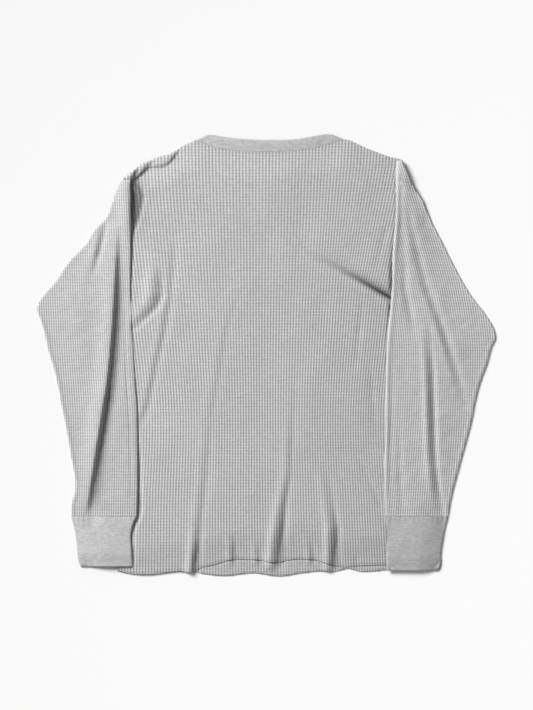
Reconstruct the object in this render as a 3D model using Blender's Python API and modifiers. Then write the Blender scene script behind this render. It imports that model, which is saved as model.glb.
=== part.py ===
"""A long-sleeved waffle-knit thermal top, laid on a table with its back up and both sleeves folded in.

Metres. The table is z = 0, +Y runs from the hem to the neck, and +X is the viewer's right. The front
panel lies on the table, the back panel lies on the front, and each sleeve is turned in along a slanting
fold, so that it lies down the side of the back, its cuff level with the hem.
"""

import math
from collections import namedtuple

import bmesh
import bpy

# Cloth
KNIT = 0.0015  # wall of the waffle knit
RIB = 0.0015  # wall of the doubled jersey of the cuffs and the neck band
SEAM = 0.0003  # what neighbouring pieces keep between them
BAND_GAP = 0.0008  # and what the back keeps to the neck band, which swells where it folds
LIE = 0.0006  # air between the back and a sleeve that lies on it

# Body, as cut
BODY_HALF = 0.2390  # half the width across the chest
HEM_Y = -0.3450
NECK_X = 0.0040  # the neck opening's middle
NECK_HALF = 0.0980  # to the inner edge of the band at the shoulder
NECK_TOP_Y = 0.3496
BAND = 0.0185  # height of the neck band
BAND_FLARE = 0.0195  # how much further out the band's seam meets the shoulder
BACK_SAG = 0.0080  # fall of the neck's edge at the middle of the back
FRONT_DROP = 0.0800  # and at the middle of the front
SHOULDER_FALL = 0.0085  # the band's seam ends this far below its inner edge

# How the layers stack
BACK_UNDER = KNIT + SEAM  # underside of the back panel
BACK_TOP = BACK_UNDER + KNIT
BODY_LOFT = 0.0030  # what trapped air lifts the middle of the back by
LOFT_REACH = 0.0600  # how far in from the hem and the shoulders the lift is full
SIDE_REACH = 0.0300  # and from the sleeves
SLEEVE_EDGE_R = 0.0024  # how far a folded edge of a sleeve rounds in
SLEEVE_RISE = 0.0050  # a flat sleeve, over what it lies on
UNDER_LAYERS = 3  # layers of a sleeve under the one that shows, above the elbow
EDGE_INSET = 0.6  # of a wall: how much sooner the hollow starts to round
STEP = 0.0010  # run in which a sleeve drops off the body's side
ELBOW_REACH = 0.0200  # the hidden layers build up over this run above the elbow
DROP_REACH = 0.0120  # a sleeve comes down to the table where it reaches this far past the body
SLOPE_START = 0.0120  # its upper face starts down this far in from the body's side
SLOPE_RUN = 0.0500  # and is all the way down after this run
LEAST_HOLLOW = 0.0006  # a sleeve's hollow is at least this high
FOLD_OUT, FOLD_UP = 0.4, 0.9  # shares of its bend that the neck band's fold is pushed out and up by

# What the seams leave between the sleeve and its cuff
CUFF_Y = -0.2557
CUFF_RISE = 0.0062

COLOUR = (0.55, 0.55, 0.56, 1.0)
RIB_COLOUR = (0.60, 0.60, 0.60, 1.0)

Edge = namedtuple("Edge", "x y")
# The top of the back: the fold at each side, then the shoulder as far as the band's seam.
SHOULDER_LEFT = [
    Edge(-0.2390, 0.2600),
    Edge(-0.2309, 0.2750),
    Edge(-0.2177, 0.2881),
    Edge(-0.1981, 0.3047),
    Edge(-0.1725, 0.3155),
    Edge(-0.1482, 0.3234),
    Edge(-0.1325, 0.3331),
    Edge(-0.1110, 0.3390),
]
SHOULDER_RIGHT = [
    Edge(0.1190, 0.3390),
    Edge(0.1544, 0.3312),
    Edge(0.1787, 0.3215),
    Edge(0.2100, 0.3112),
    Edge(0.2201, 0.2972),
    Edge(0.2390, 0.2600),
]
# The two hems: the back is shorter in the middle, so the inside of the front shows below it.
FRONT_HEM = [
    Edge(-0.2390, -0.3430),
    Edge(-0.2178, -0.3479),
    Edge(-0.1925, -0.3495),
    Edge(-0.1366, -0.3442),
    Edge(-0.1113, -0.3463),
    Edge(-0.0708, -0.3506),
    Edge(-0.0205, -0.3463),
    Edge(0.0224, -0.3512),
    Edge(0.0541, -0.3463),
    Edge(0.0921, -0.3431),
    Edge(0.1274, -0.3391),
    Edge(0.1479, -0.3438),
    Edge(0.1878, -0.3415),
    Edge(0.2390, -0.3380),
]
BACK_HEM = [
    Edge(-0.2390, -0.3420),
    Edge(-0.1925, -0.3485),
    Edge(-0.1366, -0.3432),
    Edge(-0.1064, -0.3391),
    Edge(-0.0841, -0.3336),
    Edge(-0.0606, -0.3264),
    Edge(-0.0205, -0.3252),
    Edge(0.0224, -0.3288),
    Edge(0.0793, -0.3264),
    Edge(0.1048, -0.3341),
    Edge(0.1226, -0.3368),
    Edge(0.1878, -0.3336),
    Edge(0.2390, -0.3330),
]

Station = namedtuple("Station", "y inner outer rise")
# Each sleeve from the shoulder to the cuff: its two edges, as distances from the middle of the body,
# and how far its middle stands over a flat sleeve.
SLEEVE_LEFT = [
    Station(0.2700, 0.2190, 0.2330, 0.0000),
    Station(0.2590, 0.2183, 0.2395, 0.0004),
    Station(0.2383, 0.2170, 0.2455, 0.0008),
    Station(0.2193, 0.2158, 0.2534, 0.0012),
    Station(0.2078, 0.2152, 0.2638, 0.0014),
    Station(0.1736, 0.2150, 0.2892, 0.0016),
    Station(0.1514, 0.2153, 0.3115, 0.0018),
    Station(0.1148, 0.2150, 0.3369, 0.0018),
    Station(0.0878, 0.2147, 0.3598, 0.0016),
    Station(0.0719, 0.2142, 0.3642, 0.0014),
    Station(0.0576, 0.2137, 0.3598, 0.0012),
    Station(0.0369, 0.2130, 0.3536, 0.0010),
    Station(0.0083, 0.2102, 0.3473, 0.0010),
    Station(-0.0299, 0.2075, 0.3358, 0.0012),
    Station(-0.0754, 0.2026, 0.3269, 0.0012),
    Station(-0.1189, 0.2026, 0.3180, 0.0012),
    Station(-0.1566, 0.2040, 0.3116, 0.0010),
    Station(-0.2199, 0.2046, 0.3053, 0.0006),
    Station(CUFF_Y, 0.2057, 0.3106, 0.0000),
]
SLEEVE_RIGHT = [
    Station(0.3040, 0.2080, 0.2176, 0.0000),
    Station(0.2972, 0.2056, 0.2201, 0.0004),
    Station(0.2802, 0.2053, 0.2274, 0.0006),
    Station(0.2655, 0.2053, 0.2347, 0.0008),
    Station(0.2499, 0.2053, 0.2444, 0.0010),
    Station(0.2086, 0.2045, 0.2638, 0.0012),
    Station(0.1779, 0.2028, 0.2797, 0.0014),
    Station(0.1514, 0.2016, 0.2927, 0.0016),
    Station(0.1190, 0.2009, 0.3117, 0.0018),
    Station(0.0878, 0.1998, 0.3299, 0.0018),
    Station(0.0658, 0.1978, 0.3471, 0.0016),
    Station(0.0369, 0.1941, 0.3628, 0.0012),
    Station(0.0273, 0.1936, 0.3642, 0.0010),
    Station(0.0124, 0.1927, 0.3579, 0.0010),
    Station(-0.0132, 0.1921, 0.3508, 0.0010),
    Station(-0.0399, 0.1926, 0.3409, 0.0012),
    Station(-0.0704, 0.1932, 0.3325, 0.0014),
    Station(-0.1030, 0.1935, 0.3264, 0.0014),
    Station(-0.1364, 0.1926, 0.3177, 0.0014),
    Station(-0.1819, 0.1902, 0.3051, 0.0010),
    Station(-0.2270, 0.1887, 0.2937, 0.0006),
    Station(CUFF_Y, 0.1910, 0.2886, 0.0000),
]
CUFF_LEFT = [
    Station(CUFF_Y - SEAM, 0.2057, 0.3106, 0.0000),
    Station(-0.2652, 0.2102, 0.3082, 0.0002),
    Station(-0.2833, 0.2148, 0.3046, 0.0003),
    Station(-0.3100, 0.2140, 0.3010, 0.0003),
    Station(-0.3360, 0.2130, 0.2970, 0.0000),
]
CUFF_RIGHT = [
    Station(CUFF_Y - SEAM, 0.1910, 0.2886, 0.0000),
    Station(-0.2700, 0.1915, 0.2850, 0.0002),
    Station(-0.2827, 0.1917, 0.2822, 0.0003),
    Station(-0.3161, 0.1914, 0.2768, 0.0003),
    Station(-0.3425, 0.1910, 0.2755, 0.0000),
]

Fold = namedtuple("Fold", "x0 y0 x1 y1 height half_width")
# The largest folds: ridges where height is positive, troughs where it isn't.
BACK_FOLDS = [
    Fold(0.110, 0.162, 0.205, 0.100, 0.0016, 0.014),  # over the right armpit's crease
    Fold(0.098, 0.151, 0.206, 0.082, -0.0034, 0.006),  # the crease
    Fold(0.100, 0.138, 0.198, 0.076, 0.0014, 0.008),  # and the lip under it
    Fold(-0.184, 0.134, -0.186, 0.074, 0.0026, 0.012),  # the left armpit's bulge
    Fold(-0.168, 0.139, -0.164, 0.078, -0.0022, 0.006),  # its inner side
    Fold(-0.164, 0.078, -0.208, 0.053, -0.0020, 0.006),  # and its foot
    Fold(-0.1541, 0.168, -0.158, 0.054, 0.0010, 0.007),
    Fold(-0.2180, 0.278, -0.150, 0.314, 0.0016, 0.009),  # the rolled left shoulder
    Fold(-0.1190, -0.262, -0.119, -0.350, 0.0030, 0.007),  # flutes at the hem
    Fold(0.0210, -0.205, 0.0210, -0.335, 0.0030, 0.009),
    Fold(0.0730, -0.300, 0.0730, -0.330, 0.0016, 0.006),
    Fold(0.1100, -0.215, 0.1100, -0.345, 0.0028, 0.009),
]
SLEEVE_FOLDS = [
    Fold(-0.2256, 0.185, -0.2400, 0.015, -0.0022, 0.0070),  # long trough of the left sleeve
    Fold(-0.2400, 0.015, -0.2870, -0.236, -0.0026, 0.0080),
    Fold(-0.2526, 0.200, -0.2535, 0.010, 0.0020, 0.0080),  # and its ridge
    Fold(-0.2535, 0.010, -0.2950, -0.215, 0.0024, 0.0080),
    Fold(0.2291, 0.225, 0.2500, 0.123, -0.0014, 0.0060),  # the right sleeve's troughs
    Fold(0.2500, 0.123, 0.2911, 0.009, -0.0020, 0.0070),
    Fold(0.2911, 0.009, 0.3038, -0.090, -0.0018, 0.0070),
    Fold(0.2619, 0.012, 0.2665, -0.140, -0.0018, 0.0070),
    Fold(0.2500, 0.050, 0.2480, -0.180, 0.0014, 0.0090),  # and ridges
    Fold(0.2790, 0.030, 0.2850, -0.160, 0.0016, 0.0080),
]

# How finely the faceted cloth is cut, in even steps within each stretch
Stretch = namedtuple("Stretch", "start end steps")
BACK_ACROSS = [  # shares of the width that no sleeve covers
    Stretch(-1.00, -0.66, 6),
    Stretch(-0.66, -0.52, 5),
    Stretch(-0.52, 0.00, 5),
    Stretch(0.00, 0.14, 5),
    Stretch(0.14, 0.44, 4),
    Stretch(0.44, 1.00, 11),
]
BACK_UP = [  # shares of the length from hem to neck
    Stretch(0.00, 0.57, 12),
    Stretch(0.57, 0.76, 11),
    Stretch(0.76, 1.00, 8),
]
COVERED = 0.0040  # the back is level from this far under a sleeve's edge
RING_SHARES = (0.35, 0.70)  # ring points between a sleeve's edge and the body's side
OUTER_SHARES = (0.18, 0.36, 0.54, 0.72)  # and from there to its outer edge
NECK_STEPS = 12


def smooth(t):
    """0 below 0 and 1 above 1, with an even slope between."""
    t = min(1.0, max(0.0, t))
    return t * t * (3 - 2 * t)


def read(rows, at, key="x", value="y"):
    """The column value of a table at any place on its column key, in straight lines between rows."""
    rows = sorted(rows, key=lambda row: getattr(row, key))
    at = min(max(at, getattr(rows[0], key)), getattr(rows[-1], key))
    for low, high in zip(rows, rows[1:]):
        if at <= getattr(high, key):
            share = (at - getattr(low, key)) / (getattr(high, key) - getattr(low, key))
            return getattr(low, value) + share * (getattr(high, value) - getattr(low, value))
    return getattr(rows[-1], value)


def folds_at(folds, x, y):
    """What the folds of a table add to the cloth's height at a point."""
    total = 0.0
    for fold in folds:
        run = (fold.x1 - fold.x0, fold.y1 - fold.y0)
        length = math.hypot(*run)
        along = ((x - fold.x0) * run[0] + (y - fold.y0) * run[1]) / length**2
        across = ((x - fold.x0) * run[1] - (y - fold.y0) * run[0]) / length
        ends = smooth(along * 3) * smooth((1 - along) * 3 + 0.6)
        total += fold.height * ends * math.exp(-((across / fold.half_width) ** 2))
    return total


def band_seam_y(x):
    """The seam between the back panel and the neck band."""
    half = NECK_HALF + BAND_FLARE
    middle = NECK_TOP_Y - BACK_SAG - BAND
    return middle + (NECK_TOP_Y - SHOULDER_FALL - middle) * ((x - NECK_X) / half) ** 2


def back_top_y(x):
    """The upper edge of the back panel: shoulders, and the neck's seam between them."""
    if x <= SHOULDER_LEFT[-1].x:
        return read(SHOULDER_LEFT, x)
    if x >= SHOULDER_RIGHT[0].x:
        return read(SHOULDER_RIGHT, x)
    return band_seam_y(x) - BAND_GAP


def front_neck(turn, reach, top_y, drop):
    """A point on the front's neckline, turned round from the right shoulder to the left."""
    return NECK_X + reach * math.cos(turn), top_y - drop * math.sin(turn)


def inner_edge(x, y):
    """How far from the middle the sleeve on this side starts."""
    return read(SLEEVE_LEFT + CUFF_LEFT if x < 0 else SLEEVE_RIGHT + CUFF_RIGHT, y, "y", "inner")


def back_z(x, y):
    """Height of the back panel's upper face. It is level where a sleeve lies on it."""
    loft = smooth((y - read(BACK_HEM, x)) / LOFT_REACH) * smooth((back_top_y(x) - y) / LOFT_REACH)
    clear = smooth((inner_edge(x, y) + COVERED - abs(x)) / SIDE_REACH)
    return BACK_TOP + max(0.0, BODY_LOFT * loft * clear + folds_at(BACK_FOLDS, x, y) * clear)


def new_object(name, mesh, colour):
    """Links an object with its own knit material into the garment's collection."""
    material = bpy.data.materials.new(name + "_knit")
    material.use_nodes = True
    shader = material.node_tree.nodes["Principled BSDF"]
    shader.inputs["Base Color"].default_value = colour
    shader.inputs["Roughness"].default_value = 0.9
    shader.inputs["Metallic"].default_value = 0.0
    obj = bpy.data.objects.new(name, mesh)
    obj.data.materials.append(material)
    garment.objects.link(obj)
    return obj


def soften(obj, degrees=40):
    """Smooth shading, but for edges sharper than this."""
    obj.data.shade_smooth()
    obj.data.set_sharp_from_angle(angle=math.radians(degrees))


def front_panel():
    """The front lies flat on the table, so it is an outline of its cut with one thickness."""
    reach = NECK_HALF + BAND_FLARE + SEAM
    seam_top = NECK_TOP_Y - SHOULDER_FALL
    seam_drop = FRONT_DROP + BAND - SHOULDER_FALL + SEAM
    outline = [(edge.x, edge.y) for edge in FRONT_HEM + SHOULDER_RIGHT[:0:-1]]
    outline.append((NECK_X + reach + BAND_GAP, SHOULDER_RIGHT[0].y))
    for step in range(1, 2 * NECK_STEPS):
        outline.append(front_neck(math.pi * step / (2 * NECK_STEPS), reach, seam_top, seam_drop))
    outline.append((NECK_X - reach - BAND_GAP, SHOULDER_LEFT[-1].y))
    outline += [(edge.x, edge.y) for edge in SHOULDER_LEFT[-2::-1]]
    curve = bpy.data.curves.new("front_panel", "CURVE")
    curve.dimensions = "2D"
    curve.fill_mode = "BOTH"
    curve.extrude = KNIT / 2
    spline = curve.splines.new("POLY")
    spline.points.add(len(outline) - 1)
    for point, (x, y) in zip(spline.points, outline):
        point.co = (x, y, 0, 1)
    spline.use_cyclic_u = True
    panel = new_object("front_panel", curve, COLOUR)
    panel.location.z = KNIT / 2
    return panel


def cuts(stretches):
    """The shares at which a table of stretches cuts the cloth."""
    found = [stretches[0].start]
    for start, end, steps in stretches:
        found += [start + (end - start) * (i + 1) / steps for i in range(steps)]
    return found


def back_point(across, up):
    """A point of the back: across is -1 and 1 where the sleeves start, and beyond 1 at the sides."""
    y = HEM_Y + up * (NECK_TOP_Y - HEM_Y)
    for _ in range(2):
        x = BODY_HALF * across / 2 if abs(across) > 1 else across * (inner_edge(across, y) + COVERED)
        y = read(BACK_HEM, x) + up * (back_top_y(x) - read(BACK_HEM, x))
    return x, y, back_z(x, y)


def back_panel():
    """The back: a grid laid between the hem and the neck, raised into its folds and given its wall."""
    across = [-2] + cuts(BACK_ACROSS) + [2]
    up = cuts(BACK_UP)
    bm = bmesh.new()
    bmesh.ops.create_grid(bm, x_segments=len(across) - 1, y_segments=len(up) - 1, size=0.5)
    for vert in bm.verts:
        column = round((vert.co.x + 0.5) * (len(across) - 1))
        row = round((vert.co.y + 0.5) * (len(up) - 1))
        vert.co = back_point(across[column], up[row])
    lower = bmesh.ops.extrude_face_region(bm, geom=bm.faces[:])["geom"]
    for vert in (item for item in lower if isinstance(item, bmesh.types.BMVert)):
        vert.co.z -= KNIT
    bmesh.ops.recalc_face_normals(bm, faces=bm.faces[:])
    mesh = bpy.data.meshes.new("back_panel")
    bm.to_mesh(mesh)
    bm.free()
    panel = new_object("back_panel", mesh, COLOUR)
    soften(panel)
    return panel


def lies_on(x, y, outer):
    """What is under a sleeve at this point: the back, or off its side the table."""
    if abs(x) <= BODY_HALF + SEAM or outer < BODY_HALF + DROP_REACH:
        return back_z(x, y) + LIE
    return 0.0


def ring(station, side, wall, rise, hidden):
    """(outer, inner) section of a flattened tube at a station, each as (x, z) points in order.

    hidden is the thickness of the layers under the hollow, and rise the height of a flat tube.
    """
    inner, outer, y = station.inner, station.outer, station.y
    radius = SLEEVE_EDGE_R
    split = min(BODY_HALF + SEAM, outer - radius - 2 * STEP)
    span_in = (inner + radius, split)
    span_out = (split + STEP, outer - radius)
    xs = [span_in[0]]
    xs += [span_in[0] + share * (span_in[1] - span_in[0]) for share in RING_SHARES]
    xs += [span_in[1], span_out[0]]
    xs += [span_out[0] + share * (span_out[1] - span_out[0]) for share in OUTER_SHARES]
    xs.append(span_out[1])

    def top(distance):
        across = (distance - inner) / (outer - inner)
        crown = station.rise * math.sin(math.pi * across)
        drop = smooth((distance - BODY_HALF + SLOPE_START) / SLOPE_RUN) * (BACK_TOP + LIE)
        over = BACK_TOP + LIE + rise - max(0.0, drop - hidden + wall)
        return over + crown + folds_at(SLEEVE_FOLDS, side * distance, y)

    def shape(distances, sink, under):
        """A loop whose top is sunk and whose floor is raised, with its two edges."""
        low = [lies_on(side * d, y, outer) + under for d in xs]
        high = [top(d) - sink for d in distances]
        least = LEAST_HOLLOW + (0.0 if sink else 2 * wall)
        high = [max(h, l + least) for h, l in zip(high, low)]
        near = (inner + sink, (low[0] + high[0]) / 2)
        far = (outer - sink, (low[-1] + high[-1]) / 2)
        loop = [near] + list(zip(distances, low)) + [far] + list(zip(distances, high))[::-1]
        return [(side * d, z) for d, z in loop]

    near, far = xs[0] + EDGE_INSET * wall, xs[-1] - EDGE_INSET * wall
    inset = [near + (d - xs[0]) * (far - near) / (xs[-1] - xs[0]) for d in xs]
    if outer >= BODY_HALF + DROP_REACH:
        inset[3] += wall
        inset[4] += wall
    return shape(xs, 0.0, 0.0), shape(inset, wall, hidden)


def elbow_y(stations):
    """The station where a sleeve is widest: its slanting fold ends there."""
    return max(stations, key=lambda station: station.outer).y


def join_loops(bm, first, second):
    """Fills between two loops of as many points with a band of four-sided faces."""
    for i, start in enumerate(first):
        k = (i + 1) % len(first)
        bm.faces.new((start, first[k], second[k], second[i]))


def tube(name, stations, side, wall, rise, colour, shut):
    """A flattened cloth tube lofted through its stations, with its far end open.

    Where shut, the near end is closed, and the hidden layers above the elbow share one floor.
    """
    bm = bmesh.new()
    skins = ([], [])
    for station in stations:
        above = smooth((station.y - elbow_y(stations)) / ELBOW_REACH) if shut else 0.0
        off_body = station.outer > BODY_HALF + DROP_REACH
        hidden = wall * (1 + above * (UNDER_LAYERS - 1) * off_body)
        for skin, loop in zip(skins, ring(station, side, wall, rise, hidden)):
            skin.append([bm.verts.new((x, station.y, z)) for x, z in loop])
    outside, inside = skins
    if shut:
        inside = inside[1:]
    for skin in (outside, inside):
        for first, second in zip(skin, skin[1:]):
            join_loops(bm, first, second)
    join_loops(bm, outside[-1], inside[-1])
    if shut:
        bm.faces.new(outside[0])
        bm.faces.new(inside[0])
    else:
        join_loops(bm, outside[0], inside[0])
    bmesh.ops.delete(bm, geom=[v for v in bm.verts if not v.link_faces], context="VERTS")
    bmesh.ops.recalc_face_normals(bm, faces=bm.faces[:])
    mesh = bpy.data.meshes.new(name)
    bm.to_mesh(mesh)
    bm.free()
    obj = new_object(name, mesh, colour)
    soften(obj)
    return obj


def neck_band():
    """The band round the neck: its back half lies over its front half, folded at the shoulders."""
    low, high = RIB / 2, BACK_UNDER + RIB / 2
    bend = (high - low) / 2
    flare = (NECK_HALF + BAND_FLARE) / NECK_HALF
    bm = bmesh.new()
    rows = []
    for step in range(2 * NECK_STEPS + 1):  # across the back, from left to right
        share = -1 + step / NECK_STEPS
        upper = NECK_TOP_Y - BACK_SAG * (1 - share**2)
        seam_x = NECK_X + share * NECK_HALF * flare
        rows.append(((NECK_X + share * NECK_HALF, upper), (seam_x, band_seam_y(seam_x)), high))
    rows.append(fold_row(1, bend, (low + high) / 2))
    for step in range(2 * NECK_STEPS + 1):  # and back under it, round the front
        turn = math.pi * step / (2 * NECK_STEPS)
        upper = front_neck(turn, NECK_HALF, NECK_TOP_Y, FRONT_DROP)
        seam_drop = FRONT_DROP + BAND - SHOULDER_FALL
        seam = front_neck(turn, NECK_HALF * flare, NECK_TOP_Y - SHOULDER_FALL, seam_drop)
        rows.append((upper, seam, low))
    rows.append(fold_row(-1, bend, (low + high) / 2))
    pairs = [[bm.verts.new((*point, z)) for point in (upper, seam)] for upper, seam, z in rows]
    for first, second in zip(pairs, pairs[1:] + pairs[:1]):
        bm.faces.new((first[0], first[1], second[1], second[0]))
    bmesh.ops.recalc_face_normals(bm, faces=bm.faces[:])
    mesh = bpy.data.meshes.new("neck_band")
    bm.to_mesh(mesh)
    bm.free()
    band = new_object("neck_band", mesh, RIB_COLOUR)
    wall = band.modifiers.new("wall", "SOLIDIFY")
    wall.thickness = RIB
    wall.offset = 0
    soften(band)
    return band


def fold_row(side, bend, z):
    """The band's fold at a shoulder, pushed out by its own bend."""
    out, up = bend * FOLD_OUT, bend * FOLD_UP
    upper = (NECK_X + side * (NECK_HALF + out), NECK_TOP_Y + up)
    seam = (NECK_X + side * (NECK_HALF + BAND_FLARE + out), NECK_TOP_Y - SHOULDER_FALL + up)
    return upper, seam, z


for item in list(bpy.data.objects):
    bpy.data.objects.remove(item)
garment = bpy.data.collections.new("thermal_top")
bpy.context.scene.collection.children.link(garment)

front_panel()
back_panel()
tube("sleeve_left", SLEEVE_LEFT, -1, KNIT, SLEEVE_RISE, COLOUR, True)
tube("sleeve_right", SLEEVE_RIGHT, 1, KNIT, SLEEVE_RISE, COLOUR, True)
tube("cuff_left", CUFF_LEFT, -1, RIB, CUFF_RISE, RIB_COLOUR, False)
tube("cuff_right", CUFF_RIGHT, 1, RIB, CUFF_RISE, RIB_COLOUR, False)
neck_band()
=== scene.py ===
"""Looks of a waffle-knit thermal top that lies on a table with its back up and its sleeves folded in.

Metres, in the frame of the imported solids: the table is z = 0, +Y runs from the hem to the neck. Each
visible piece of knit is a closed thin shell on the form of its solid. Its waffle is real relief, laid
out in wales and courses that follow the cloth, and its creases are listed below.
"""

import math
from collections import namedtuple

import bmesh
import bpy
import numpy as np
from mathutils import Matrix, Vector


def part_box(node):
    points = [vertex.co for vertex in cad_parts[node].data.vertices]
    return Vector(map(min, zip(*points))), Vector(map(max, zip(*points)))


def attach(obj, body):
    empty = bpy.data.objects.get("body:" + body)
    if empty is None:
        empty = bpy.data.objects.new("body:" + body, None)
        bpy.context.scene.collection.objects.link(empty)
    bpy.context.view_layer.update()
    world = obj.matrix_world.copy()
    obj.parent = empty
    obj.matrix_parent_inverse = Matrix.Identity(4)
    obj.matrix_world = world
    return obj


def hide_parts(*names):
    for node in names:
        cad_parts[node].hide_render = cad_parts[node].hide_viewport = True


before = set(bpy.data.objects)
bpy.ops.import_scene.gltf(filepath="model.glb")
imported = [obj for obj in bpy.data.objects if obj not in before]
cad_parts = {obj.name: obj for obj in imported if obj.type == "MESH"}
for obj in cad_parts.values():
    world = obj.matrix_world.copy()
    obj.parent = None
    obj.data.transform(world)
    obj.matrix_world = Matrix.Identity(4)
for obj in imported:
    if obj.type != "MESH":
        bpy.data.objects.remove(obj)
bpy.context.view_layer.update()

# ---- sizes

FRONT_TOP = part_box("front_panel")[1][2]  # upper face of the panel that lies on the table
BODY_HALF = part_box("back_panel")[1][0]  # half the width across the chest
CUFF_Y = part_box("cuff_left")[1][1]  # seam between sleeve and cuff
SEAT = 0.0003  # air between layers
WALL = 0.0015  # of the knit
BACK_LOW = FRONT_TOP + SEAT
BACK_TOP = BACK_LOW + WALL
SLEEVE_LOW = BACK_TOP + 2 * SEAT  # a sleeve's underside where it lies on the back
SLEEVE_TOP = SLEEVE_LOW + 0.0050  # and its upper side

# The waffle
COURSE = 0.00469  # height of a cell
SLEEVE_WALE = 0.00364  # width of one on the sleeves
WALE_NARROWING = 0.0000032  # on the back, how much narrower each wale is than the one on its left
FIRST_WALE, LAST_WALE = -12, 54  # of a sleeve, counted from its grain line
HALF_WALES, HALF_COURSES = 52, 75  # of the body, either way from its middle
STRIP_COURSES = 62  # the front shows below this many courses from the middle
RELIEF = 0.00110  # depth of the waffle
SLEEVE_RELIEF = 0.8  # share of it on the sleeves
COURSE_RIB = 0.38  # how tall the ribs across are, beside the upright ones
ROWS_PER_CELL, COLUMNS_PER_CELL = 2, 3
UNDER_STRIDE = 6  # points of the upper face to each of the underside
EDGE_FADE = 0.002  # the waffle runs flat this near an edge
LEAST_KNIT = 0.0003  # of the back's thickness

# Edges
SHARP = math.radians(70)  # faces that meet at more than this aren't shaded across
SIDE_ROUND = 0.0012
NECK_ROUND = 0.0030
SHOULDER_ROUND = 0.0035  # of the sleeves' upper ends
HEM_LINE, HEM_LINE_WIDTH = 0.0012, 0.0011  # where the overlocked edge runs, and half its width
HEM_EDGE = 0.0002  # how far it stands up
HEM_THIN, HEM_THIN_REACH = 0.0009, 0.005  # how much thinner the knit is at the edge
STRIP_TOP_Y = -0.310  # the front's folds and waffle start below this
STRIP_RISE = 0.0008  # how far the front's inside stands up where the back ends
FRONT_DROP = 0.0900  # fall of the front's neckline
EDGE_ON_BACK = 0.0052  # height of a sleeve's outer edge where it still lies on the back
SLEEVE_CROWN = 0.0012  # how much higher its middle lies

# How the back lies
FLAT_LIFT, SWELL = 0.0004, 0.0038  # of the back, at its hem and in the middle
SWELL_REACH = 0.05  # how far in from hem and neck the swell is full
BESIDE_SLEEVE = 0.012  # run in which it sinks towards a sleeve
SUNK_SHARE = 0.25  # of a hollow's depth that the layer beneath leaves
BROAD_UNEVEN, BROAD_SIZE = 0.0010, 0.085
SMALL_UNEVEN, SMALL_SIZE = 0.0005, 0.030
FULL_RELIEF = 1.12  # how plump the waffle is at the hem
PRESSED = 0.64  # share of that lost from the chest up
ROLL_RISE = 0.0042  # of the left shoulder's roll at its thin end
ROLL_SWELL = 0.0036  # and how much more beside the sleeve
ROLL_LEDGE, ROLL_WIDTH = 0.0024, 0.015  # run of its steep lower edge, and its width
PULL = -0.09  # sideways for each metre above the right armpit's crease

# Tone, with painted shade
SHADE = 16.0  # painted shade: how much of its light a trough's knit is painted as losing, for each metre of depth
DARKEST_BACK, DARKEST_SLEEVE = 0.88, 0.85  # most painted shade: the share of its light that knit can be painted as losing
SEAM_TONE = 0.12  # and how much darker the seam along a sleeve's edge is
TOP_DARKER, TOP_DARKER_FROM, TOP_DARKER_RUN = 0.07, -0.05, 0.30  # the knit darkens this much above here, over this run

# The seam that shows along each sleeve's outer edge, below the elbow
SEAM_IN, SEAM_WIDTH, SEAM_RISE = 0.0040, 0.0018, 0.0006

# Cuffs and neck band
CUFF_END = {"left": -0.3362, "right": -0.3425}
CUFF_STEPS, CUFF_ACROSS = 60, 61
CUFF_NEAR_ROUND, CUFF_FAR_ROUND = 0.0030, 0.0018
CUFF_LEAST = 0.0012  # thickness
CUFF_SWELL = 0.0008
CUFF_PRESS, CUFF_PRESS_RUN = 0.0022, 0.022  # it thins this much towards its end
GATHER, GATHER_WIDTH, GATHER_RUN = 0.0004, 0.0075, 0.012  # small pleats at its seam
CUFF_THREAD = 0.0012  # width of a jersey wale
CUFF_TONE, BAND_TONE = 1.05, 0.95
BAND_STEPS, BAND_ACROSS = 180, 12
BAND_WIDTH = 0.0185
BAND_LIFT = 0.0007  # of its free edge
BAND_EDGE_ROUND = 0.0010
BAND_TURN = 0.012  # share of the way across in which it turns under at a shoulder
BAND_DROP, BAND_SEAM_DROP = 0.0800, 0.0890  # fall of the band's edges at the front

# Knit's colour. The specks of its melange are counted to the metre, and stretched along the courses.
PIT_SLANT = -0.045  # how far a pit leans within its cell
PIT_WOBBLE = 0.16
HEATHER_SPECKS, STREAK_SPECKS, CLOUD_SPECKS, PATCH_SPECKS = 620.0, 330.0, 22.0, 260.0
HEATHER_SHARE, CLOUD_SHARE = 0.40, 0.15
FIBRE_SPECKS = 2600.0
SHEEN, SHEEN_ROUGHNESS, SHINE = 0.08, 0.5, 0.2

# Studio
LAMP = (-2.02, 1.56, 1.90)
LAMP_SIZE, LAMP_POWER = 1.5, 185
LAMP_SHARE = 0.75  # of the light at the middle of the table
LAMP_FALL = 2.96  # power of the distance by which the table's light falls off
ROOM_LIGHT = 0.345
TABLE_COLOUR, TABLE_PALEST = 0.688, 0.97
LENS, SENSOR = 200.0, 36.0
VIEW_TALL = 1.129  # what the camera sees from top to bottom

# ---- outlines, grain and creases

Edge = namedtuple("Edge", "x y")
Side = namedtuple("Side", "y reach")
Wale = namedtuple("Wale", "y width middle")
Knot = namedtuple("Knot", "x y height")
Crease = namedtuple("Crease", "left right knots")


def mm(*values):
    """Metres from millimetres."""
    return [round(value / 1000, 7) for value in values]


def edges(*rows):
    """Points of an outline."""
    return [Edge(*mm(*row)) for row in rows]


def sides(*rows):
    """Heights, and at each a distance from the middle of the body or from a sleeve."""
    return [Side(*mm(*row)) for row in rows]


def wales(*rows):
    """Heights, and at each how wide a cell is and where the middle wale stands."""
    return [Wale(*mm(*row)) for row in rows]


def crease(left, right, *knots):
    """A line of knots x, y and height, which is how far it lifts the cloth there, or sinks it below 0.

    left and right are how far it reaches on either side of its line, seen along the line from above.
    """
    return Crease(*mm(left, right), [Knot(*mm(*knot)) for knot in knots])


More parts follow.
